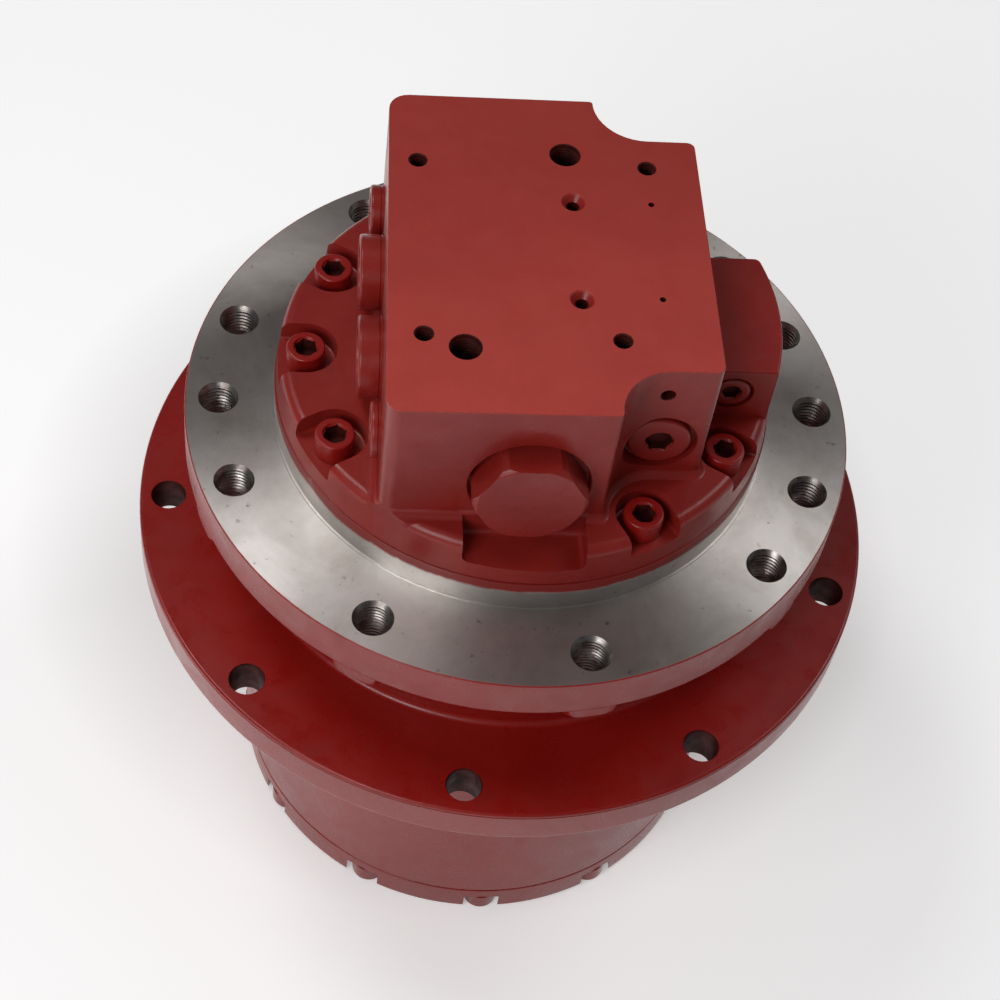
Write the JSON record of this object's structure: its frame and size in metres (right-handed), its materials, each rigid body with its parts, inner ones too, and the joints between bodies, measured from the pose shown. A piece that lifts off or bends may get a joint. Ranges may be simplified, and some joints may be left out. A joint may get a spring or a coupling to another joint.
{
  "type": "excavator final drive",
  "caption": "Round geared wheel drive with a sprocket flange, a frame flange and a hydraulic motor block on top, painted red with bare steel faces.",
  "frame": {"origin": "centre of the bottom of the box round the unit, on the hub's axis, under the end cover", "axes": "+Z along the hub's axis from the end cover up to the motor; +X towards the block's side with the ear; the front of the picture is -Y"},
  "size_m": [0.321, 0.321, 0.3377],
  "materials": {
    "red_paint": "semi-gloss red paint on cast iron, sprayed over the screws too",
    "red_block": "semi-gloss red paint over a fine cast surface",
    "bare_steel": "machined steel face with stains, red paint on the sides",
    "gear_steel": "hardened and ground steel, oiled",
    "bearing_steel": "polished bearing steel",
    "bronze": "bronze-faced steel, lapped",
    "rubber": "black oil-proof rubber",
    "friction": "sintered friction facing, dull"
  },
  "bodies": {
    "frame_side": {"spindle": "bare_steel", "motor_cover": "red_block", "motor_screw_1": "red_paint", "motor_screw_2": "red_paint", "motor_screw_3": "red_paint", "motor_screw_4": "red_paint", "motor_screw_5": "red_paint", "motor_screw_6": "red_paint", "motor_screw_7": "red_paint", "spool_plug_front": "red_block", "spool_plug_back": "red_block", "relief_plug_front": "red_block", "relief_plug_back": "red_block", "selector_plug": "red_block", "carrier_2": "gear_steel", "valve_plate": "bronze", "seal_ring_upper": "bearing_steel", "seal_cord_upper": "rubber", "lower_bearing_inner_ring": "bearing_steel", "upper_bearing_inner_ring": "bearing_steel", "shaft_bearing": "bearing_steel"},
    "hub_side": {"hub": "red_paint", "end_cover": "red_paint", "fill_plug": "red_paint", "drain_plug": "red_paint", "cover_bolt_01": "red_paint", "cover_bolt_02": "red_paint", "cover_bolt_03": "red_paint", "cover_bolt_04": "red_paint", "cover_bolt_05": "red_paint", "cover_bolt_06": "red_paint", "cover_bolt_07": "red_paint", "cover_bolt_08": "red_paint", "cover_bolt_09": "red_paint", "cover_bolt_10": "red_paint", "cover_bolt_11": "red_paint", "cover_bolt_12": "red_paint", "seal_ring_lower": "bearing_steel", "seal_cord_lower": "rubber", "lower_bearing_outer_ring": "bearing_steel", "upper_bearing_outer_ring": "bearing_steel"},
    "roller_cages": {"lower_bearing_rollers": "bearing_steel", "upper_bearing_rollers": "bearing_steel"},
    "first_carrier": {"carrier_1": "gear_steel", "sun_2": "gear_steel"},
    "planet_1_a_body": {"planet_1_a": "gear_steel"},
    "planet_1_b_body": {"planet_1_b": "gear_steel"},
    "planet_1_c_body": {"planet_1_c": "gear_steel"},
    "planet_2_a_body": {"planet_2_a": "gear_steel"},
    "planet_2_b_body": {"planet_2_b": "gear_steel"},
    "planet_2_c_body": {"planet_2_c": "gear_steel"},
    "motor_rotor": {"sun_1_shaft": "gear_steel", "motor_shaft": "gear_steel", "cylinder_block": "bronze", "piston_set": "gear_steel", "brake_disc": "friction"},
    "spool_body": {"counterbalance_spool": "gear_steel"},
    "brake_piston_body": {"brake_piston": "gear_steel"},
    "swash_body": {"swash_plate": "bearing_steel"},
    "speed_piston_body": {"speed_piston": "gear_steel"}
  },
  "joints": [
    {"name": "hub_spin", "type": "hinge", "parent": "frame_side", "child": "hub_side", "pos_m": [0, 0, 0.1388], "axis": [0, 0, 1], "continuous": true},
    {"name": "cage_spin", "type": "hinge", "parent": "frame_side", "child": "roller_cages", "pos_m": [0, 0, 0.1388], "axis": [0, 0, 1], "continuous": true},
    {"name": "carrier_spin", "type": "hinge", "parent": "frame_side", "child": "first_carrier", "pos_m": [0, 0, 0.05], "axis": [0, 0, 1], "continuous": true},
    {"name": "motor_spin", "type": "hinge", "parent": "frame_side", "child": "motor_rotor", "pos_m": [0, 0, 0.2], "axis": [0, 0, 1], "continuous": true},
    {"name": "planet_1_a_spin", "type": "hinge", "parent": "first_carrier", "child": "planet_1_a_body", "pos_m": [0.05775, 0, 0.033], "axis": [0, 0, 1], "continuous": true},
    {"name": "planet_1_b_spin", "type": "hinge", "parent": "first_carrier", "child": "planet_1_b_body", "pos_m": [-0.02888, 0.05001, 0.033], "axis": [0, 0, 1], "continuous": true},
    {"name": "planet_1_c_spin", "type": "hinge", "parent": "first_carrier", "child": "planet_1_c_body", "pos_m": [-0.02888, -0.05001, 0.033], "axis": [0, 0, 1], "continuous": true},
    {"name": "planet_2_a_spin", "type": "hinge", "parent": "frame_side", "child": "planet_2_a_body", "pos_m": [0.063, 0, 0.0723], "axis": [0, 0, 1], "continuous": true},
    {"name": "planet_2_b_spin", "type": "hinge", "parent": "frame_side", "child": "planet_2_b_body", "pos_m": [-0.0315, 0.05456, 0.0723], "axis": [0, 0, 1], "continuous": true},
    {"name": "planet_2_c_spin", "type": "hinge", "parent": "frame_side", "child": "planet_2_c_body", "pos_m": [-0.0315, -0.05456, 0.0723], "axis": [0, 0, 1], "continuous": true},
    {"name": "spool_slide", "type": "slide", "parent": "frame_side", "child": "spool_body", "axis": [0, 1, 0], "range_m": [-0.006, 0.006]},
    {"name": "brake_release", "type": "slide", "parent": "frame_side", "child": "brake_piston_body", "axis": [0, 0, 1], "range_m": [0, 0.0025]},
    {"name": "swash_tilt", "type": "hinge", "parent": "frame_side", "child": "swash_body", "pos_m": [0, 0, 0.1289], "axis": [1, 0, 0], "range_deg": [-7, 0]},
    {"name": "speed_piston_slide", "type": "slide", "parent": "frame_side", "child": "speed_piston_body", "axis": [0, 0, 1], "range_m": [0, 0.0053]}
  ],
  "couplings": [
    {"joint": "cage_spin", "follows": "hub_spin", "ratio": 0.5261},
    {"joint": "carrier_spin", "follows": "hub_spin", "ratio": -3},
    {"joint": "motor_spin", "follows": "hub_spin", "ratio": -21},
    {"joint": "planet_1_a_spin", "follows": "hub_spin", "ratio": 10.286},
    {"joint": "planet_1_b_spin", "follows": "hub_spin", "ratio": 10.286},
    {"joint": "planet_1_c_spin", "follows": "hub_spin", "ratio": 10.286},
    {"joint": "planet_2_a_spin", "follows": "hub_spin", "ratio": 3},
    {"joint": "planet_2_b_spin", "follows": "hub_spin", "ratio": 3},
    {"joint": "planet_2_c_spin", "follows": "hub_spin", "ratio": 3},
    {"joint": "speed_piston_slide", "follows": "swash_tilt", "m_per_rad": -0.0429}
  ]
}
